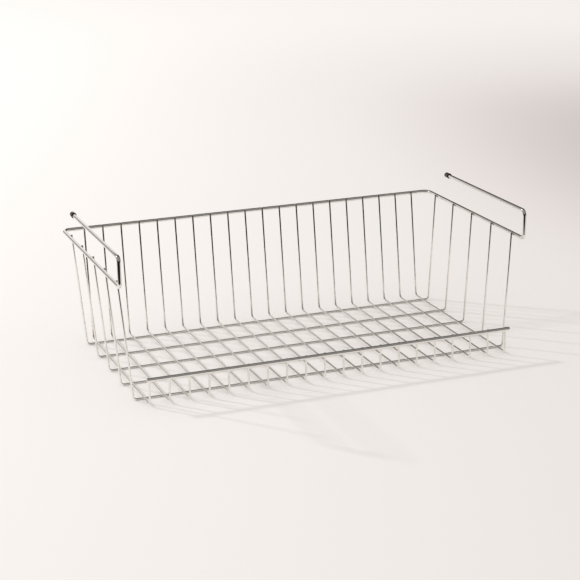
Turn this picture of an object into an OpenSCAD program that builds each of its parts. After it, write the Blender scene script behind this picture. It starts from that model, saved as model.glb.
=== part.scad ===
// Under-shelf hanging file rack: a welded wire basket carried by two open hook arms.
// Origin: middle of the width and depth, on the plane that the rack rests on.
// +X right as seen from the front, -Y front, +Z up. Millimetres.

/* [Wire] */
// Diameter of the rim, hook and front lip wire
rim_wire_d = 5; // [4:0.1:7]
// Diameter of the filler wires that make the floor, the back and the sides
filler_wire_d = 2.5; // [2:0.1:3.5]
// Bend radius of the filler wires, on the wire's centre line
filler_bend_r = 4.5; // [3:0.5:9]
// Bevel on each cut wire end
end_bevel = 0.3; // [0.1:0.05:0.5]
// Standing gap between two wires where they are spot welded
weld_gap = 0.02; // [0.01:0.01:0.05]

/* [Basket] */
// How many wires run from the back over the floor to the front
long_wire_count = 20; // [8:1:20]
// Spacing of those wires
long_wire_pitch = 25; // [18:0.5:35]
// How many wires run across the floor and up both sides
cross_wire_count = 5; // [3:1:7]
// Floor depth, between the back and front bends' corners
floor_depth = 265.5; // [220:0.5:340]
// From the floor's back corner to the rearmost cross wire
cross_wire_back_gap = 15; // [8:0.1:30]
// From the floor's front corner to the foremost cross wire
cross_wire_front_gap = 28.7; // [22:0.1:40]
// From the outermost lengthwise wire to the floor's side edge
floor_side_margin = 12.1; // [11:0.1:20]
// Height of the side and back rim's centre line above the resting plane
rim_height = 149.4; // [110:0.1:220]
// How far the back rim stands behind the floor's back corner
back_lean = 23.8; // [10:0.1:50]
// How far each side rim stands outside the floor's side edge
side_flare = 15.8; // [8:0.1:40]
// How far the cross wires' side uprights lean to the rear
side_lean = 5.6; // [0:0.1:12]
// Corner radius of the rim at the back, on the wire's centre line
rim_corner_r = 10; // [8:0.5:20]
// How far the lengthwise wires' cut ends stand above the back rim
back_end_proud = 0.4; // [0:0.1:2]
// How far the cross wires' cut ends stand above the side rims' centre line
side_end_above = 2; // [0.5:0.1:4]

/* [Hook arms] */
// Height of the arms' centre line above the side rims' centre line
hook_rise = 36.3; // [30:0.1:60]
// Bend radius of the hooks, on the wire's centre line
hook_bend_r = 5.5; // [4:0.5:12]
// How far the hooks' legs stand behind the floor's front corner
leg_setback = 8.8; // [0:0.1:12]
// Length of an arm from its leg's centre line to the tip of its cap
arm_length = 222.3; // [150:0.1:235]

/* [Front lip] */
// Height of the lip wire's centre line above the resting plane
lip_height = 35.7; // [25:0.1:70]
// How far the lip wire runs past the outermost lengthwise wires' centre lines
lip_overhang = 3.7; // [2:0.1:8]
// How far the front uprights' cut ends stand above the lip wire's centre line
lip_end_above = 1.6; // [0.5:0.1:3]

/* [End caps] */
// Thickness of a cap's wall around the arm
cap_wall = 1; // [0.8:0.1:2]
// Length of a cap
cap_length = 10.5; // [8:0.5:25]
// Thickness of a cap's closed end
cap_end = 2.5; // [1.5:0.1:4]
// Radius of a cap's rounded end edge
cap_round = 1.4; // [0.5:0.1:1.6]

/* [Hidden] */
$fn = 32;

// Radii, and the centre distances of welded wires
rim_r = rim_wire_d / 2;
filler_r = filler_wire_d / 2;
rim_to_filler = rim_r + filler_r + weld_gap;
filler_to_filler = filler_wire_d + weld_gap;

// Where a straight run meets a bend: the hairline between them, and the core that joins them
parting = 0.01;
core_reach = 0.4;
core_share = 0.8;

// Heights of centre lines
cross_z = filler_r;
floor_z = cross_z + filler_to_filler;
arm_z = rim_height + hook_rise;
rim_top_z = rim_height + rim_r;

// Widths
outer_wire_x = (long_wire_count - 1) / 2 * long_wire_pitch;
floor_edge_x = outer_wire_x + floor_side_margin;
rim_x = floor_edge_x + side_flare;

// Depths, with y = 0 in the middle of the whole rack
overall_depth = rim_r + back_lean + floor_depth + rim_to_filler + rim_r;
back_rim_y = overall_depth / 2 - rim_r;
floor_back_y = back_rim_y - back_lean;
floor_front_y = floor_back_y - floor_depth;
lip_y = floor_front_y - rim_to_filler;
leg_y = floor_front_y + leg_setback;
arm_tip_y = leg_y + arm_length;
cross_wire_pitch = (floor_depth - cross_wire_back_gap - cross_wire_front_gap) / (cross_wire_count - 1);

// Angles of the uprights, so that each touches its rim
back_angle = grazing_angle(back_lean, rim_height - floor_z, rim_to_filler);
side_back_angle = atan(side_lean / (rim_height - cross_z));
side_out_angle = grazing_angle(side_flare, (rim_height - cross_z) / cos(side_back_angle), rim_to_filler);

// Cap bore: the arm's end slides in with a little play
cap_r = rim_r + cap_wall;
cap_bore_r = rim_r + weld_gap;
cap_bore_depth = cap_length - cap_end;

// Angle from upright at which a line from a foot passes at distance reach
// on the near side of a point that is out sideways and up from the foot
function grazing_angle(out, up, reach) = atan2(out, up) - asin(reach / norm([out, up]));

function unit(v) = v / norm(v);

// Direction of the run that leaves point i
function heading(points, i) = unit(points[i + 1] - points[i]);

// Angle through which the wire turns at point i
function turn(points, i) = acos(heading(points, i - 1) * heading(points, i));

// Length that the bend at point i takes from each of its two runs
function setback(points, bends, i) = bends[i - 1] * tan(turn(points, i) / 2);

// Turns +Z towards the direction v
module aim(v) {
    rotate([0, acos(v.z / norm(v)), atan2(v.y, v.x)])
        children();
}

// A straight run of wire, with a bevel of the given size at each end
module straight_run(from, to, wire_d, from_bevel, to_bevel) {
    run = norm(to - from);
    translate(from) aim(to - from) {
        translate([0, 0, from_bevel])
            cylinder(h = run - from_bevel - to_bevel, d = wire_d);
        if (from_bevel > 0)
            cylinder(h = from_bevel, d1 = wire_d - 2 * from_bevel, d2 = wire_d);
        if (to_bevel > 0)
            translate([0, 0, run - to_bevel])
                cylinder(h = to_bevel, d1 = wire_d, d2 = wire_d - 2 * to_bevel);
    }
}

// The core that ties a straight run to the bend that starts or ends at a point
module bend_core(point, direction, wire_d) {
    translate(point - direction * core_reach) aim(direction)
        cylinder(h = 2 * core_reach, d = wire_d * core_share);
}

// The round bend of a wire at the corner point between two headings
module bend(corner, heading_in, heading_out, bend_r, wire_d) {
    turned = acos(heading_in * heading_out);
    taken = bend_r * tan(turned / 2);
    centre = corner + unit(heading_out - heading_in) * bend_r / cos(turned / 2);
    start = corner - heading_in * taken;
    x_axis = unit(start - centre);
    z_axis = cross(x_axis, heading_in);
    multmatrix([
        [x_axis.x, heading_in.x, z_axis.x, centre.x],
        [x_axis.y, heading_in.y, z_axis.y, centre.y],
        [x_axis.z, heading_in.z, z_axis.z, centre.z],
        [0, 0, 0, 1]
    ])
        rotate_extrude(angle = turned)
            translate([bend_r, 0])
                circle(d = wire_d);
    bend_core(start, heading_in, wire_d);
    bend_core(corner + heading_out * taken, heading_out, wire_d);
}

// A round wire through the given points, with one bend radius for each inner point.
// Each straight run stops a hair short of its bend, and the bend's core reaches into it.
module bent_wire(points, bends, wire_d) {
    last = len(points) - 1;
    for (i = [0 : last - 1]) {
        trim_from = i == 0 ? 0 : setback(points, bends, i) + parting;
        trim_to = i == last - 1 ? 0 : setback(points, bends, i + 1) + parting;
        straight_run(
            points[i] + heading(points, i) * trim_from,
            points[i + 1] - heading(points, i) * trim_to,
            wire_d,
            i == 0 ? end_bevel : 0,
            i == last - 1 ? end_bevel : 0
        );
    }
    for (i = [1 : last - 1])
        bend(points[i], heading(points, i - 1), heading(points, i), bends[i - 1], wire_d);
}

// One continuous wire: left arm, left hook, left rim, back rim, right rim, right hook, right arm
module rim_hook_wire() {
    arm_end_y = arm_tip_y - cap_end - weld_gap;
    left_half = [
        [-rim_x, arm_end_y, arm_z],
        [-rim_x, leg_y, arm_z],
        [-rim_x, leg_y, rim_height],
        [-rim_x, back_rim_y, rim_height]
    ];
    right_half = [for (i = [3 : -1 : 0]) [-left_half[i].x, left_half[i].y, left_half[i].z]];
    color("silver")
        bent_wire(
            concat(left_half, right_half),
            [hook_bend_r, hook_bend_r, rim_corner_r, rim_corner_r, hook_bend_r, hook_bend_r],
            rim_wire_d
        );
}

// The straight wire along the front, outside the front uprights
module front_lip_wire() {
    half = outer_wire_x + lip_overhang;
    color("silver")
        straight_run([-half, lip_y, lip_height], [half, lip_y, lip_height], rim_wire_d, end_bevel, end_bevel);
}

// A soft push-on cap on an arm's end; side is -1 on the left and 1 on the right
module end_cap(side) {
    color("black")
        translate([side * rim_x, arm_tip_y - cap_length, arm_z])
            rotate([-90, 0, 0])
                rotate_extrude()
                    difference() {
                        union() {
                            square([cap_r, cap_length - cap_round]);
                            square([cap_r - cap_round, cap_length]);
                            translate([cap_r - cap_round, cap_length - cap_round])
                                circle(r = cap_round);
                        }
                        square([cap_bore_r, cap_bore_depth]);
                    }
}

// A wire across the floor and up both sides; number 1 is the rearmost
module cross_wire(number) {
    foot_y = floor_back_y - cross_wire_back_gap - (number - 1) * cross_wire_pitch;
    up = rim_height + side_end_above - cross_z;
    back = up * tan(side_back_angle);
    out = up / cos(side_back_angle) * tan(side_out_angle);
    color("silver")
        bent_wire(
            [
                [-floor_edge_x - out, foot_y + back, cross_z + up],
                [-floor_edge_x, foot_y, cross_z],
                [floor_edge_x, foot_y, cross_z],
                [floor_edge_x + out, foot_y + back, cross_z + up]
            ],
            [filler_bend_r, filler_bend_r],
            filler_wire_d
        );
}

// A wire down the back, over the floor and up the front; number 1 is the leftmost
module long_wire(number) {
    x = (number - 1) * long_wire_pitch - outer_wire_x;
    up = rim_top_z + back_end_proud - floor_z;
    color("silver")
        bent_wire(
            [
                [x, floor_back_y + up * tan(back_angle), floor_z + up],
                [x, floor_back_y, floor_z],
                [x, floor_front_y, floor_z],
                [x, floor_front_y, lip_height + lip_end_above]
            ],
            [filler_bend_r, filler_bend_r],
            filler_wire_d
        );
}

rim_hook_wire();
front_lip_wire();
end_cap(-1);  // end_cap_left
end_cap(1);  // end_cap_right
cross_wire(1);  // cross_wire_1
cross_wire(2);  // cross_wire_2
cross_wire(3);  // cross_wire_3
cross_wire(4);  // cross_wire_4
cross_wire(5);  // cross_wire_5
long_wire(1);  // long_wire_01
long_wire(2);  // long_wire_02
long_wire(3);  // long_wire_03
long_wire(4);  // long_wire_04
long_wire(5);  // long_wire_05
long_wire(6);  // long_wire_06
long_wire(7);  // long_wire_07
long_wire(8);  // long_wire_08
long_wire(9);  // long_wire_09
long_wire(10);  // long_wire_10
long_wire(11);  // long_wire_11
long_wire(12);  // long_wire_12
long_wire(13);  // long_wire_13
long_wire(14);  // long_wire_14
long_wire(15);  // long_wire_15
long_wire(16);  // long_wire_16
long_wire(17);  // long_wire_17
long_wire(18);  // long_wire_18
long_wire(19);  // long_wire_19
long_wire(20);  // long_wire_20
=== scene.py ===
"""The hanging file rack's looks: chromed, spot-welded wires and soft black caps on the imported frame."""
import math

import bmesh
import bpy
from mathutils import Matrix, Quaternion, Vector


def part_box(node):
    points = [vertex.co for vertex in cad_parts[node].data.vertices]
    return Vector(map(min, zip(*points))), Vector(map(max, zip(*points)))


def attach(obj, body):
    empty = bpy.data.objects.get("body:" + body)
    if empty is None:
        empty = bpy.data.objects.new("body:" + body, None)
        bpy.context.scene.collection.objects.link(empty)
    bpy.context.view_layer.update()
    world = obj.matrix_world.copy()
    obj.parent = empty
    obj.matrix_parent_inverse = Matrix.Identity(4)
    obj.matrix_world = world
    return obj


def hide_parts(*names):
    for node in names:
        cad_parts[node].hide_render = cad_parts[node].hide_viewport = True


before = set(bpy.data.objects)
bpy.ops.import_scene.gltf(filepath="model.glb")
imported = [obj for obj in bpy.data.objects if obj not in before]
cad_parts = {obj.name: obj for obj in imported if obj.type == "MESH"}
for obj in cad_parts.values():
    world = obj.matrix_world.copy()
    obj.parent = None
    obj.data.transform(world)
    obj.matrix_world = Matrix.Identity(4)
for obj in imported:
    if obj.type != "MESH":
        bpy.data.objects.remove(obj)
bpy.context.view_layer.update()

MM = 0.001

# ---------------------------------------------------------------- sizes, in metres

# Wires
RIM_R = 2.5 * MM
FILLER_R = 1.25 * MM
RIM_CORNER_R = 10 * MM
HOOK_BEND_R = 5.5 * MM
FILLER_BEND_R = 4.5 * MM

# How far the side and back rims stand outside the floor's corners
SIDE_FLARE = 15.8 * MM
BACK_LEAN = 23.8 * MM

# Mesh fineness
RIM_SIDES = 40
FILLER_SIDES = 28
BEND_STEP = math.radians(6)
BEND_STEPS_MIN = 6
RUN_STEP = 12 * MM

# Spot welds: the gap between the wires at the nugget's waist and at its skirt, the height share of the ring
# between those two, how far the skirt's edge sinks into each wire, and the most of a wire's radius that the
# nugget covers
WELD_WAIST_GAP = 0.30 * MM
WELD_SKIRT_GAP = 0.52 * MM
WELD_SHOULDER = 0.22
WELD_SINK = 0.04 * MM
WELD_REACH = 0.9
WELD_SEGMENTS = 28

# How far the lengthwise wires' cut ends stand above the lip wire's middle
LIP_END_ABOVE = 1.6 * MM

# End caps, and the play between a cap's floor and the wire's end
CAP_MOUTH_BEAD = 0.12 * MM
CAP_BORE_R = 2.52 * MM
CAP_BORE_DEPTH = 8 * MM
CAP_END_PLAY = 0.05 * MM
CAP_MOUTH_ROUND = 0.55 * MM
CAP_END_ROUND = 1.6 * MM
CAP_DRAFT = 0.10 * MM
CAP_FLASH = 0.07 * MM
CAP_FLASH_WITHIN = 0.3 * MM
CAP_SEGMENTS = 72

# Inside and outside a cap's mouth: the bore's narrowing at its floor, where the bore's lip starts, and
# where the bead ends and fades out
CAP_BORE_TAPER = 0.98
CAP_LIP_AT = 0.6 * MM
CAP_BEAD_END = 1.3 * MM
CAP_FADE_FROM = 1.5 * MM
CAP_FADE_LENGTH = 0.7 * MM
CAP_MOUTH_STEPS = 8
CAP_FADE_STEPS = 4
CAP_END_STEPS = 12

# The gate mark in a cap's closed end, in millimetres: how deep each ring lies, and its radius
GATE_MARK = ((0.0, 1.05), (0.16, 0.90), (0.20, 0.45), (0.06, 0.30), (0.04, 0.0))


# ---------------------------------------------------------------- node helpers


def new_material(name):
    """A node material with its Principled shader; returns the material, its tree and the shader."""
    material = bpy.data.materials.new(name)
    material.use_nodes = True
    tree = material.node_tree
    return material, tree, tree.nodes["Principled BSDF"]


def feed(tree, target, value):
    """Sets an input socket to a number or a colour, or links another node's socket to it."""
    if isinstance(value, bpy.types.NodeSocket):
        tree.links.new(value, target)
    elif isinstance(value, (tuple, list)) and len(value) == 3 and target.type == "RGBA":
        target.default_value = (*value, 1)
    else:
        target.default_value = value


def maths(tree, operation, *values, clamp=False):
    node = tree.nodes.new("ShaderNodeMath")
    node.operation = operation
    node.use_clamp = clamp
    for socket, value in zip(node.inputs, values):
        feed(tree, socket, value)
    return node.outputs[0]


def vector_maths(tree, operation, a, b, output="Vector"):
    node = tree.nodes.new("ShaderNodeVectorMath")
    node.operation = operation
    feed(tree, node.inputs[0], a)
    feed(tree, node.inputs[1], b)
    return node.outputs[output]


def ramp_between(tree, value, low, high, to_low=0.0, to_high=1.0):
    """A smooth step of value from to_low at low to to_high at high."""
    node = tree.nodes.new("ShaderNodeMapRange")
    node.interpolation_type = "SMOOTHSTEP"
    feed(tree, node.inputs["Value"], value)
    for name, number in zip(("From Min", "From Max", "To Min", "To Max"), (low, high, to_low, to_high)):
        node.inputs[name].default_value = number
    return node.outputs[0]


def mix_colours(tree, factor, a, b, blend="MIX"):
    node = tree.nodes.new("ShaderNodeMix")
    node.data_type = "RGBA"
    node.blend_type = blend
    feed(tree, node.inputs["Factor"], factor)
    # Sockets 6 and 7 are A and B as colours
    feed(tree, node.inputs[6], a)
    feed(tree, node.inputs[7], b)
    return node.outputs[2]


def noise(tree, coordinates, scale, detail=3.0, roughness=0.5):
    node = tree.nodes.new("ShaderNodeTexNoise")
    feed(tree, node.inputs["Vector"], coordinates)
    node.inputs["Scale"].default_value = scale
    node.inputs["Detail"].default_value = detail
    node.inputs["Roughness"].default_value = roughness
    return node.outputs["Fac"]


def stretched(tree, coordinates, scale):
    node = tree.nodes.new("ShaderNodeMapping")
    feed(tree, node.inputs["Vector"], coordinates)
    node.inputs["Scale"].default_value = scale
    return node.outputs[0]


def bumped(tree, height, distance, strength=1.0, under=None):
    node = tree.nodes.new("ShaderNodeBump")
    feed(tree, node.inputs["Height"], height)
    node.inputs["Distance"].default_value = distance
    node.inputs["Strength"].default_value = strength
    if under is not None:
        feed(tree, node.inputs["Normal"], under)
    return node.outputs[0]


# ---------------------------------------------------------------- materials


# Plate and wire: draw lines per millimetre round and along the wire, the roughness that they add, the
# heights of the lines, the plate's swell and its pits, and how much darker its hazed clouds are
DRAW_LINES_PER_MM = (5.0, 0.06, 1.0)
LINE_ROUGHNESS = 0.03
LINE_HEIGHT = 0.006 * MM
SWELL_HEIGHT = 0.10 * MM
PIT_DEPTH = 0.01 * MM
HAZE_SHADE = 0.93
# Swells, clouds and cells of pits to a metre, the noise that turns to haze, and a pit's edge in its cell
SWELLS_PER_M = 55.0
CLOUDS_PER_M = 240.0
PITS_PER_M = 420.0
HAZE_FROM = (0.45, 0.75)
PIT_EDGE = (0.05, 0.14)


def chrome(name, tint, polish, haze):
    """Bright plate over drawn steel wire. The UVs run round and along the wire, in millimetres."""
    material, tree, shader = new_material(name)
    wire_uv = tree.nodes.new("ShaderNodeUVMap")
    wire_uv.uv_map = "wire"
    round_and_along = wire_uv.outputs[0]
    geometry = tree.nodes.new("ShaderNodeNewGeometry")
    place = geometry.outputs["Position"]

    # Draw lines left by the die, fine round the wire and long along it
    draw_lines = noise(tree, stretched(tree, round_and_along, DRAW_LINES_PER_MM), 1.0, 4.0, 0.6)
    # Slow unevenness of the plate, and small clouds of haze
    swell = noise(tree, place, SWELLS_PER_M, 2.0)
    clouds = noise(tree, place, CLOUDS_PER_M, 3.0)
    # Sparse pits where the plate didn't take
    pits = tree.nodes.new("ShaderNodeTexVoronoi")
    feed(tree, pits.inputs["Vector"], place)
    pits.inputs["Scale"].default_value = PITS_PER_M
    pit_depth = ramp_between(tree, pits.outputs["Distance"], *PIT_EDGE)

    dull = ramp_between(tree, clouds, *HAZE_FROM)
    dull_tint = tuple(HAZE_SHADE * channel for channel in tint)
    feed(tree, shader.inputs["Base Color"], mix_colours(tree, dull, tint, dull_tint))
    hazed = maths(tree, "MULTIPLY_ADD", dull, haze, polish)
    feed(tree, shader.inputs["Roughness"], maths(tree, "MULTIPLY_ADD", draw_lines, LINE_ROUGHNESS, hazed))
    shader.inputs["Metallic"].default_value = 1.0
    lines = bumped(tree, draw_lines, LINE_HEIGHT)
    swollen = bumped(tree, swell, SWELL_HEIGHT, under=lines)
    feed(tree, shader.inputs["Normal"], bumped(tree, pit_depth, PIT_DEPTH, under=swollen))
    return material


CAP_BLACK = (0.006, 0.006, 0.0065)
CAP_RUBBED = (0.012, 0.0115, 0.0115)
CAP_GRAIN_HEIGHT = 0.02 * MM
# Grains, flow clouds and rubbed spots to a metre, the noise that turns to rubbed, and the roughness
CAP_GRAINS_PER_M = 5200.0
CAP_FLOWS_PER_M = 320.0
CAP_FLOW_STRETCH = (1, 0.3, 1)
CAP_RUBS_PER_M = 700.0
CAP_RUBBED_FROM = (0.5, 0.8)
CAP_ROUGHNESS = 0.22
CAP_FLOW_ROUGHNESS = 0.20


def cap_plastic():
    """Soft black moulded plastic: a fine spark texture, faint flow clouds and a satin sheen."""
    material, tree, shader = new_material("cap_black")
    geometry = tree.nodes.new("ShaderNodeNewGeometry")
    place = geometry.outputs["Position"]
    grain = noise(tree, place, CAP_GRAINS_PER_M, 4.0, 0.6)
    flow = noise(tree, stretched(tree, place, CAP_FLOW_STRETCH), CAP_FLOWS_PER_M, 2.0)
    rubbed = ramp_between(tree, noise(tree, place, CAP_RUBS_PER_M, 3.0), *CAP_RUBBED_FROM)
    worn = mix_colours(tree, rubbed, CAP_BLACK, CAP_RUBBED)
    feed(tree, shader.inputs["Base Color"], worn)
    roughness = maths(tree, "MULTIPLY_ADD", flow, CAP_FLOW_ROUGHNESS, CAP_ROUGHNESS)
    feed(tree, shader.inputs["Roughness"], roughness)
    shader.inputs["Specular IOR Level"].default_value = 0.5
    feed(tree, shader.inputs["Normal"], bumped(tree, grain, CAP_GRAIN_HEIGHT))
    return material


# ---------------------------------------------------------------- mesh helpers


def rounded_path(corners, bend_radii):
    """Points along a wire through the corners, with a round bend at each inner one."""
    stops = [corners[0]]
    for before, corner, after, radius in zip(corners, corners[1:], corners[2:], bend_radii):
        arrive = (corner - before).normalized()
        leave = (after - corner).normalized()
        turn = arrive.angle(leave)
        centre = corner + (leave - arrive).normalized() * (radius / math.cos(turn / 2))
        spoke = corner - arrive * (radius * math.tan(turn / 2)) - centre
        axis = arrive.cross(leave).normalized()
        steps = max(BEND_STEPS_MIN, round(turn / BEND_STEP))
        stops += [centre + Quaternion(axis, turn * i / steps) @ spoke for i in range(steps + 1)]
    stops.append(corners[-1])

    points = [stops[0]]
    for start, stop in zip(stops, stops[1:]):
        steps = max(1, round((stop - start).length / RUN_STEP))
        points += [start.lerp(stop, i / steps) for i in range(1, steps + 1)]
    return points


def tangents(points):
    ends = [points[0]] + points + [points[-1]]
    return [(after - before).normalized() for before, after in zip(ends, ends[2:])]


# A sheared and tumbled wire end: how far back from the tip each ring is, in millimetres, and its share of
# the radius, then how far the middle of the end bulges
CUT_END = ((0.45, 1.0), (0.22, 0.985), (0.08, 0.94), (0.02, 0.88), (0.0, 0.82), (-0.008, 0.72))
CUT_END_BULGE = 0.03 * MM


def with_cut_ends(points, radius):
    """The path's points and ring radii, with both cut ends' rings in place of the end points."""
    along = tangents(points)
    first = [(points[0] + along[0] * (back * MM), share) for back, share in reversed(CUT_END)]
    last = [(points[-1] - along[-1] * (back * MM), share) for back, share in CUT_END]
    middle = [(point, 1.0) for point in points[1:-1]]
    rings = first + middle + last
    return [point for point, share in rings], [share * radius for point, share in rings]


def sweep(points, radii, sides, bm, uv_layer):
    """A tube through the points whose rings don't twist, closed by a shallow cone at each end."""
    along = tangents(points)
    across = along[0].orthogonal().normalized()
    rings = []
    travelled = [0.0]
    for i, (point, radius) in enumerate(zip(points, radii)):
        if i:
            across = along[i - 1].rotation_difference(along[i]) @ across
            across = (across - along[i] * across.dot(along[i])).normalized()
            travelled.append(travelled[-1] + (point - points[i - 1]).length)
        spokes = [Quaternion(along[i], math.tau * k / sides) @ across for k in range(sides)]
        rings.append([bm.verts.new(point + spoke * radius) for spoke in spokes])

    girth = math.tau * max(radii)
    for i, (ring, after) in enumerate(zip(rings, rings[1:])):
        for k in range(sides):
            face = bm.faces.new((ring[k], ring[(k + 1) % sides], after[(k + 1) % sides], after[k]))
            face.smooth = True
            corners = ((k, i), (k + 1, i), (k + 1, i + 1), (k, i + 1))
            for loop, (side, row) in zip(face.loops, corners):
                loop[uv_layer].uv = (girth * side / sides / MM, travelled[row] / MM)
    for ring, outward in ((rings[0], -along[0]), (rings[-1], along[-1])):
        middle = sum((vert.co for vert in ring), Vector()) / sides
        tip = bm.verts.new(middle + outward * CUT_END_BULGE)
        for k in range(sides):
            pair = (ring[k], ring[(k + 1) % sides])
            bm.faces.new((*pair, tip)).smooth = True


def finished_piece(name, bm, material):
    """Turns a bmesh into a piece that rides on the rack's one body."""
    bmesh.ops.recalc_face_normals(bm, faces=bm.faces)
    mesh = bpy.data.meshes.new(name)
    bm.to_mesh(mesh)
    bm.free()
    mesh.materials.append(material)
    piece = bpy.data.objects.new(name, mesh)
    bpy.context.scene.collection.objects.link(piece)
    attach(piece, "root")
    return piece


def wire_piece(node, corners, bend_radii, radius, sides, material):
    """A finished wire that stands for its CAD node."""
    bm = bmesh.new()
    uv_layer = bm.loops.layers.uv.new("wire")
    points, radii = with_cut_ends(rounded_path(corners, bend_radii), radius)
    sweep(points, radii, sides, bm, uv_layer)
    piece = finished_piece("chromed_" + node, bm, material)
    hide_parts(node)


# ---------------------------------------------------------------- where the wires run, from the frame

rim_low, rim_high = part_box("rim_hook_wire")
lip_low, lip_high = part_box("front_lip_wire")
CROSS_NODES = [f"cross_wire_{i}" for i in range(1, 6)]
LONG_NODES = [f"long_wire_{i:02d}" for i in range(1, 21)]

RIM_X = rim_high.x - RIM_R
RIM_Z = rim_low.z + RIM_R
ARM_Z = rim_high.z - RIM_R
LEG_Y = rim_low.y + RIM_R
BACK_RIM_Y = rim_high.y - RIM_R
FLOOR_EDGE_X = RIM_X - SIDE_FLARE
FLOOR_BACK_Y = BACK_RIM_Y - BACK_LEAN


def rim_hook_corners():
    cap_mouth_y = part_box("end_cap_right")[0].y
    arm_end_y = cap_mouth_y + CAP_BORE_DEPTH - CAP_END_PLAY
    side = [(arm_end_y, ARM_Z), (LEG_Y, ARM_Z), (LEG_Y, RIM_Z), (BACK_RIM_Y, RIM_Z)]
    left = [Vector((-RIM_X, y, z)) for y, z in side]
    right = [Vector((RIM_X, y, z)) for y, z in reversed(side)]
    return left + right


def cross_wire_corners(node):
    """Left top, left foot, right foot, right top of a cross wire's centre line."""
    low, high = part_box(node)
    foot_y, foot_z = low.y + FILLER_R, low.z + FILLER_R
    top_y, top_z = high.y - FILLER_R, high.z
    top_x = high.x - FILLER_R
    return [
        Vector((-top_x, top_y, top_z)),
        Vector((-FLOOR_EDGE_X, foot_y, foot_z)),
        Vector((FLOOR_EDGE_X, foot_y, foot_z)),
        Vector((top_x, top_y, top_z)),
    ]


def long_wire_corners(node):
    """Back top, back foot, front foot, front top of a lengthwise wire's centre line."""
    low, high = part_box(node)
    x = (low.x + high.x) / 2
    front_y, floor_z = low.y + FILLER_R, low.z + FILLER_R
    return [
        Vector((x, high.y - FILLER_R, high.z)),
        Vector((x, FLOOR_BACK_Y, floor_z)),
        Vector((x, front_y, floor_z)),
        Vector((x, front_y, lip_high.z - RIM_R + LIP_END_ABOVE)),
    ]


# ---------------------------------------------------------------- welds


def weld_nugget(bm, centre, along_a, radius_a, along_b, radius_b):
    """The metal squeezed out round a spot weld: a waisted collar in the wedge between two crossed wires.
    Wire a lies below the weld's centre and wire b above it."""
    along_a, along_b = along_a.normalized(), along_b.normalized()
    up = along_a.cross(along_b).normalized()

    def ring(gap, height_share, sink):
        verts = []
        for k in range(WELD_SEGMENTS):
            angle = math.tau * k / WELD_SEGMENTS
            on_a, on_b = math.cos(angle), math.sin(angle)
            reach = math.sqrt(2 * gap / (on_b**2 / radius_a + on_a**2 / radius_b))
            reach = min(reach, WELD_REACH * radius_a / max(abs(on_b), 1e-6))
            reach = min(reach, WELD_REACH * radius_b / max(abs(on_a), 1e-6))
            off_a, off_b = reach * on_b, reach * on_a
            height_a = math.sqrt(radius_a**2 - off_a**2) - radius_a - sink
            height_b = radius_b - math.sqrt(radius_b**2 - off_b**2) + sink
            height = height_a + (height_b - height_a) * height_share
            verts.append(bm.verts.new(centre + along_a * off_b + along_b * off_a + up * height))
        return verts

    between_gap = (WELD_SKIRT_GAP + WELD_WAIST_GAP) / 2
    rings = [
        ring(WELD_SKIRT_GAP, 0.0, WELD_SINK),
        ring(between_gap, WELD_SHOULDER, 0),
        ring(WELD_WAIST_GAP, 0.5, 0),
        ring(between_gap, 1 - WELD_SHOULDER, 0),
        ring(WELD_SKIRT_GAP, 1.0, WELD_SINK),
    ]
    for lower, upper in zip(rings, rings[1:]):
        for k in range(WELD_SEGMENTS):
            after = (k + 1) % WELD_SEGMENTS
            bm.faces.new((lower[k], lower[after], upper[after], upper[k])).smooth = True
    bm.faces.new(rings[0])
    bm.faces.new(rings[-1])


def closest_points(a, b, along):
    """The points where the line through a and b and an axis, given as (point, direction), come closest."""
    point, direction = along
    run = (b - a).normalized()
    between = a - point
    d = run.dot(direction)
    share = (d * direction.dot(between) - run.dot(between)) / (1 - d * d)
    on_run = a + run * share
    on_wire = point + direction * direction.dot(on_run - point)
    return on_run, on_wire


def weld_between(bm, run, thick_wire):
    """A nugget where a filler wire's straight run touches a thick wire."""
    on_run, on_wire = closest_points(*run, thick_wire)
    towards = (on_run - on_wire).normalized()
    centre = on_wire + towards * RIM_R
    thick_direction = thick_wire[1]
    run_direction = (run[1] - run[0]).normalized()
    if thick_direction.cross(run_direction).dot(towards) < 0:
        run_direction = -run_direction
    weld_nugget(bm, centre, thick_direction, RIM_R, run_direction, FILLER_R)


def welds_piece(name, material, build):
    bm = bmesh.new()
    bm.loops.layers.uv.new("wire")
    build(bm)
    finished_piece(name, bm, material)


def back_rim_welds(bm):
    rim = (Vector((0, BACK_RIM_Y, RIM_Z)), Vector((1, 0, 0)))
    for node in LONG_NODES:
        top, foot = long_wire_corners(node)[:2]
        weld_between(bm, (foot, top), rim)


def side_rim_welds(bm):
    for node in CROSS_NODES:
        corners = cross_wire_corners(node)
        for foot, top, side in ((corners[1], corners[0], -1), (corners[2], corners[3], 1)):
            weld_between(bm, (foot, top), (Vector((side * RIM_X, 0, RIM_Z)), Vector((0, 1, 0))))


def lip_welds(bm):
    lip = (Vector((0, (lip_low.y + lip_high.y) / 2, (lip_low.z + lip_high.z) / 2)), Vector((1, 0, 0)))
    for node in LONG_NODES:
        foot, top = long_wire_corners(node)[2:]
        weld_between(bm, (foot, top), lip)


def floor_welds(bm):
    for cross_node in CROSS_NODES:
        foot = cross_wire_corners(cross_node)[1]
        for long_node in LONG_NODES:
            run = long_wire_corners(long_node)[1]
            centre = Vector((run.x, foot.y, (foot.z + run.z) / 2))
            weld_nugget(bm, centre, Vector((1, 0, 0)), FILLER_R, Vector((0, 1, 0)), FILLER_R)


# ---------------------------------------------------------------- end caps


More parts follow.
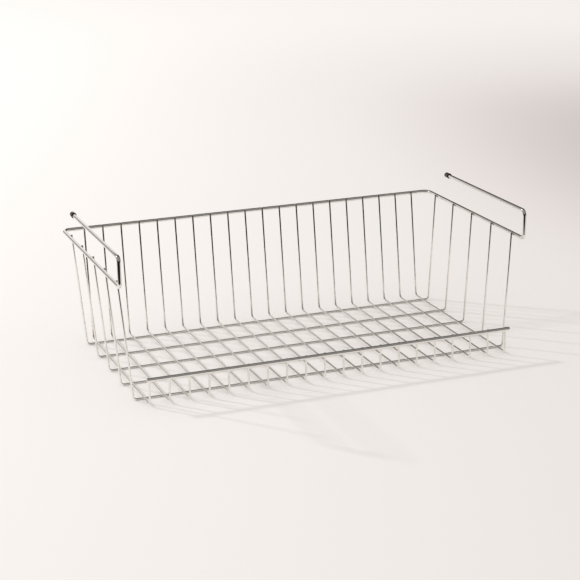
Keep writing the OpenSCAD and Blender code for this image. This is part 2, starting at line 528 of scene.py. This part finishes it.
def cap_profile(length, radius):
    """(distance from the mouth, radius) pairs: the bore's floor, the mouth, the bead and the rounded end."""
    bead = CAP_MOUTH_BEAD
    floor_r = CAP_BORE_R * CAP_BORE_TAPER
    points = [(CAP_BORE_DEPTH, 0.0), (CAP_BORE_DEPTH, floor_r), (CAP_LIP_AT, CAP_BORE_R)]
    mouth_mid = (CAP_BORE_R + radius + bead) / 2
    mouth_half = (radius + bead - CAP_BORE_R) / 2
    for i in range(CAP_MOUTH_STEPS + 1):
        angle = math.pi * i / CAP_MOUTH_STEPS
        distance = CAP_MOUTH_ROUND * (1 - math.sin(angle))
        points.append((distance, mouth_mid - mouth_half * math.cos(angle)))
    # The bead fades into the body
    points.append((CAP_BEAD_END, radius + bead))
    for i in range(CAP_FADE_STEPS + 1):
        share = i / CAP_FADE_STEPS
        faded = bead * 0.5 * (1 + math.cos(math.pi * share))
        points.append((CAP_FADE_FROM + CAP_FADE_LENGTH * share, radius + faded))
    points.append((length * 0.5, radius - CAP_DRAFT / 2))
    for i in range(CAP_END_STEPS + 1):
        angle = math.pi / 2 * i / CAP_END_STEPS
        end_r = radius - CAP_DRAFT - CAP_END_ROUND * (1 - math.cos(angle))
        points.append((length - CAP_END_ROUND * (1 - math.sin(angle)), end_r))
    points += [(length - depth * MM, ring_r * MM) for depth, ring_r in GATE_MARK]
    return points


def cap_ring(bm, centre, ring_r, outer_r):
    """One ring of a cap: a point on the axis, or a circle. Outside, the flash line shows at two places."""
    if ring_r == 0:
        return [bm.verts.new(centre)]
    ring = []
    for k in range(CAP_SEGMENTS):
        angle = math.tau * k / CAP_SEGMENTS
        on_flash = k % (CAP_SEGMENTS // 2) == 0 and ring_r > outer_r - CAP_FLASH_WITHIN
        reach = ring_r + (CAP_FLASH if on_flash else 0)
        ring.append(bm.verts.new(centre + Vector((math.cos(angle), 0, math.sin(angle))) * reach))
    return ring


def end_cap(node, material):
    """A moulded cap with a mouth bead, a rounded end, a gate mark and the fine flash line of its mould."""
    low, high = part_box(node)
    mouth = Vector(((low.x + high.x) / 2, low.y, (low.z + high.z) / 2))
    radius = (high.x - low.x) / 2

    bm = bmesh.new()
    rings = []
    for distance, ring_r in cap_profile(high.y - low.y, radius):
        rings.append(cap_ring(bm, mouth + Vector((0, distance, 0)), ring_r, radius))
    for ring, after in zip(rings, rings[1:]):
        for k in range(CAP_SEGMENTS):
            k_next = (k + 1) % CAP_SEGMENTS
            corners = (ring[k % len(ring)], ring[k_next % len(ring)])
            corners += (after[k_next % len(after)], after[k % len(after)])
            bm.faces.new(list(dict.fromkeys(corners))).smooth = True
    piece = finished_piece("moulded_" + node, bm, material)
    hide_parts(node)


# ---------------------------------------------------------------- build the rack


def thick_wire(node, corners, bend_radii):
    wire_piece(node, corners, bend_radii, RIM_R, RIM_SIDES, frame_chrome)


def thin_wire(node, corners):
    wire_piece(node, corners, [FILLER_BEND_R] * 2, FILLER_R, FILLER_SIDES, wire_chrome)


frame_chrome = chrome("frame_chrome", (0.87, 0.85, 0.815), polish=0.02, haze=0.05)
wire_chrome = chrome("wire_chrome", (0.88, 0.86, 0.82), polish=0.03, haze=0.06)
weld_chrome = chrome("weld_chrome", (0.76, 0.74, 0.71), polish=0.16, haze=0.14)

hook_bends = [HOOK_BEND_R, HOOK_BEND_R]
thick_wire("rim_hook_wire", rim_hook_corners(), hook_bends + [RIM_CORNER_R, RIM_CORNER_R] + hook_bends)
lip_y, lip_z = (lip_low.y + lip_high.y) / 2, (lip_low.z + lip_high.z) / 2
thick_wire("front_lip_wire", [Vector((lip_low.x, lip_y, lip_z)), Vector((lip_high.x, lip_y, lip_z))], [])
for node in CROSS_NODES:
    thin_wire(node, cross_wire_corners(node))
for node in LONG_NODES:
    thin_wire(node, long_wire_corners(node))

welds_piece("back_rim_welds", weld_chrome, back_rim_welds)
welds_piece("side_rim_welds", weld_chrome, side_rim_welds)
welds_piece("lip_welds", weld_chrome, lip_welds)
welds_piece("floor_welds", weld_chrome, floor_welds)

black = cap_plastic()
end_cap("end_cap_left", black)
end_cap("end_cap_right", black)


# ---------------------------------------------------------------- stage, light and camera

FLOOR_HALF = 30.0
WARM_WHITE = (1.0, 0.968, 0.946)
ROSE_GREY = (1.0, 0.930, 0.914)
# The floor's tone, with painted light: brightest on the left, a patch of painted shade on the right, and
# even far away. Its colour turns from warm white to rose grey between two tones, where the painted shade
# deepens
FLOOR_TONE = 0.905
PAINTED_LIGHT_PER_X = -0.12
PAINTED_LIGHT_PER_Y = 0.035
TONE_TOP = 0.965
SHADE_PATCH_AT = (1.25, 0.5, 0.0)
SHADE_PATCH_SHARE = (1 / 0.8, 1 / 1.5, 0.0)
SHADE_PATCH_DEPTH = 0.32
FAR_TONE = 0.965
FAR_FROM = (1.6, 3.4)
PAPER_TONES = (0.95, 0.68)
# What the bright wires mirror: a table that ends at both sides and in front, further off towards the
# right by the slant, and how bright the floor past those ends still is
TABLE_FRONT_Y = (-0.60, -0.36)
TABLE_SLANT = 0.4
TABLE_LEFT_X = (-0.80, -0.60)
TABLE_RIGHT_X = (0.85, 1.3)
PAST_FRONT = 0.02
PAST_SIDES = 0.35
# The mirrored room, in parts of a unit direction and brightness
ROOM_TURN_X = (-0.45, 0.10)
ROOM_LEFT = 0.42
ROOM_RIGHT = 0.07
ROOM_TURN_Y = (-0.15, 0.35)
ROOM_RISE = (0.05, 0.35)
ROOM_LOW = 0.02
ROOM_HIGH = 0.28
SOFT_BOX_EDGE = (math.cos(math.radians(13)), math.cos(math.radians(8)))
SOFT_BOX_LIGHT = 2.5
# Everything else is lit by this
PALE_AIR = (0.83, 0.815, 0.797)
# The key light's place, size and power
KEY_FROM = (-3.65, 3.76, 2.92)
KEY_WIDTH = 0.22
KEY_HEIGHT = 0.45
KEY_POWER = 125.0
# The lit sheet: its middle, half width, height, soft edge and brightness
SHEET_X = 0.02
SHEET_Y = 1.6
SHEET_HALF = 0.68
SHEET_TOP = 0.95
SHEET_EDGE = 0.16
SHEET_LIGHT = 0.86


def floor():
    """A pale floor with painted light, brightest on the left, with a patch of painted shade on the right.
    Mirror rays see it end in front of the rack and at its sides.
    """
    bm = bmesh.new()
    bmesh.ops.create_grid(bm, x_segments=1, y_segments=1, size=FLOOR_HALF)
    mesh = bpy.data.meshes.new("floor")
    bm.to_mesh(mesh)
    bm.free()
    stage_floor = bpy.data.objects.new("floor", mesh)
    bpy.context.scene.collection.objects.link(stage_floor)

    material, tree, shader = new_material("pale_floor")
    geometry = tree.nodes.new("ShaderNodeNewGeometry")
    place = geometry.outputs["Position"]
    split = tree.nodes.new("ShaderNodeSeparateXYZ")
    feed(tree, split.inputs[0], place)
    # Painted light: the floor is lighter to the left and further back
    tone = maths(tree, "MULTIPLY_ADD", split.outputs["X"], PAINTED_LIGHT_PER_X, FLOOR_TONE)
    tone = maths(tree, "MULTIPLY_ADD", split.outputs["Y"], PAINTED_LIGHT_PER_Y, tone)
    tone = maths(tree, "MINIMUM", tone, TONE_TOP)
    # Painted shade: a soft dark patch on the floor to the right of the rack
    from_shade_patch = vector_maths(tree, "SUBTRACT", place, SHADE_PATCH_AT)
    from_shade_patch = vector_maths(tree, "MULTIPLY", from_shade_patch, SHADE_PATCH_SHARE)
    from_shade_patch = vector_maths(tree, "LENGTH", from_shade_patch, (0, 0, 0), "Value")
    painted_shade = ramp_between(tree, from_shade_patch, 0.0, 1.0, 1.0 - SHADE_PATCH_DEPTH, 1.0)
    tone = maths(tree, "MULTIPLY", tone, painted_shade)
    away = vector_maths(tree, "LENGTH", place, (0, 0, 0), "Value")
    far = ramp_between(tree, away, *FAR_FROM)
    near_tone = maths(tree, "MULTIPLY", tone, maths(tree, "SUBTRACT", 1.0, far))
    level = maths(tree, "MULTIPLY_ADD", far, FAR_TONE, near_tone)
    # Where the painted shade darkens the floor, its colour turns rose grey
    shaded_paper = mix_colours(tree, ramp_between(tree, level, *PAPER_TONES), WARM_WHITE, ROSE_GREY)
    shade = mix_colours(tree, 1.0, shaded_paper, level, "MULTIPLY")

    from_front = maths(tree, "MULTIPLY_ADD", split.outputs["X"], TABLE_SLANT, split.outputs["Y"])
    behind_front = ramp_between(tree, from_front, *TABLE_FRONT_Y, PAST_FRONT, 1.0)
    inside_left = ramp_between(tree, split.outputs["X"], *TABLE_LEFT_X, PAST_SIDES, 1.0)
    inside_right = ramp_between(tree, split.outputs["X"], *TABLE_RIGHT_X, 1.0, PAST_SIDES)
    table = maths(tree, "MULTIPLY", behind_front, maths(tree, "MULTIPLY", inside_left, inside_right))
    mirrored = mix_colours(tree, 1.0, shade, table, "MULTIPLY")
    rays = tree.nodes.new("ShaderNodeLightPath")
    seen = mix_colours(tree, rays.outputs["Is Glossy Ray"], shade, mirrored)
    feed(tree, shader.inputs["Base Color"], seen)
    shader.inputs["Roughness"].default_value = 1.0
    shader.inputs["Specular IOR Level"].default_value = 0.0
    mesh.materials.append(material)


def studio_world():
    """Even pale light for everything. Mirror rays see a dim room with a soft box in it instead."""
    world = bpy.data.worlds.new("studio")
    bpy.context.scene.world = world
    world.use_nodes = True
    tree = world.node_tree
    background = tree.nodes["Background"]
    coordinates = tree.nodes.new("ShaderNodeTexCoord")
    direction = coordinates.outputs["Generated"]
    split = tree.nodes.new("ShaderNodeSeparateXYZ")
    feed(tree, split.inputs[0], direction)
    up = split.outputs["Z"]
    behind = ramp_between(tree, split.outputs["X"], *ROOM_TURN_X, ROOM_LEFT, ROOM_RIGHT)
    in_front = ramp_between(tree, up, *ROOM_RISE, ROOM_LOW, ROOM_HIGH)
    is_behind = ramp_between(tree, split.outputs["Y"], *ROOM_TURN_Y)
    behind = maths(tree, "MULTIPLY", behind, is_behind)
    in_front = maths(tree, "MULTIPLY", in_front, maths(tree, "SUBTRACT", 1.0, is_behind))
    room = maths(tree, "ADD", behind, in_front)
    soft_box = vector_maths(tree, "DOT_PRODUCT", direction, Vector(KEY_FROM).normalized(), "Value")
    box_light = ramp_between(tree, soft_box, *SOFT_BOX_EDGE)
    mirror = maths(tree, "MULTIPLY_ADD", box_light, SOFT_BOX_LIGHT, room)
    mirror_colour = mix_colours(tree, 1.0, WARM_WHITE, mirror, "MULTIPLY")
    rays = tree.nodes.new("ShaderNodeLightPath")
    seen = mix_colours(tree, rays.outputs["Is Glossy Ray"], PALE_AIR, mirror_colour)
    feed(tree, background.inputs["Color"], seen)
    background.inputs["Strength"].default_value = 1.0


def lit_sheet():
    """An upright pale sheet behind the rack, which only mirror rays see."""
    bm = bmesh.new()
    low_left, low_right = (SHEET_X - SHEET_HALF, SHEET_Y, 0.0), (SHEET_X + SHEET_HALF, SHEET_Y, 0.0)
    top_left, top_right = (low_left[0], SHEET_Y, SHEET_TOP), (low_right[0], SHEET_Y, SHEET_TOP)
    bm.faces.new([bm.verts.new(corner) for corner in (low_left, low_right, top_right, top_left)])
    mesh = bpy.data.meshes.new("lit_sheet")
    bm.to_mesh(mesh)
    bm.free()
    sheet = bpy.data.objects.new("lit_sheet", mesh)
    bpy.context.scene.collection.objects.link(sheet)
    sheet.visible_camera = False
    sheet.visible_diffuse = False
    sheet.visible_shadow = False

    material, tree, shader = new_material("lit_sheet")
    geometry = tree.nodes.new("ShaderNodeNewGeometry")
    split = tree.nodes.new("ShaderNodeSeparateXYZ")
    feed(tree, split.inputs[0], geometry.outputs["Position"])
    off_middle = maths(tree, "ABSOLUTE", maths(tree, "SUBTRACT", split.outputs["X"], SHEET_X))
    inside = ramp_between(tree, off_middle, SHEET_HALF - SHEET_EDGE, SHEET_HALF, 1.0, 0.0)
    below_top = ramp_between(tree, split.outputs["Z"], SHEET_TOP - SHEET_EDGE, SHEET_TOP, 1.0, 0.0)
    feed(tree, shader.inputs["Alpha"], maths(tree, "MULTIPLY", inside, below_top))
    shader.inputs["Base Color"].default_value = (0, 0, 0, 1)
    shader.inputs["Specular IOR Level"].default_value = 0.0
    shader.inputs["Emission Color"].default_value = (*WARM_WHITE, 1)
    shader.inputs["Emission Strength"].default_value = SHEET_LIGHT
    mesh.materials.append(material)


def key_light():
    """A small soft light from behind on the left. It draws the faint shadows towards the front right."""
    data = bpy.data.lights.new("key", "AREA")
    data.shape = "RECTANGLE"
    data.size = KEY_WIDTH
    data.size_y = KEY_HEIGHT
    data.energy = KEY_POWER
    light = bpy.data.objects.new("key", data)
    bpy.context.scene.collection.objects.link(light)
    light.location = KEY_FROM
    light.rotation_mode = "QUATERNION"
    light.rotation_quaternion = light.location.to_track_quat("Z", "Y")
    light.visible_glossy = False
    light.visible_camera = False


CAMERA_AT = (-0.7259, -1.8927, 0.7031)
CAMERA_YAW = math.radians(20.91)
CAMERA_PITCH = math.radians(17.19)
CAMERA_ROLL = math.radians(-0.81)
SENSOR = 36.0
LENS = 101.0


def camera():
    """The photographer's place, in front of the rack, to its left and above it."""
    data = bpy.data.cameras.new("camera")
    data.sensor_width = SENSOR
    data.lens = LENS
    made = bpy.data.objects.new("camera", data)
    bpy.context.scene.collection.objects.link(made)
    made.location = CAMERA_AT
    made.rotation_mode = "QUATERNION"
    turn = Quaternion((0, 0, 1), -CAMERA_YAW)
    tip = Quaternion((1, 0, 0), math.pi / 2 - CAMERA_PITCH)
    made.rotation_quaternion = turn @ tip @ Quaternion((0, 0, 1), CAMERA_ROLL)
    bpy.context.scene.camera = made


floor()
studio_world()
lit_sheet()
key_light()
camera()
bpy.context.scene.view_settings.view_transform = "Standard"
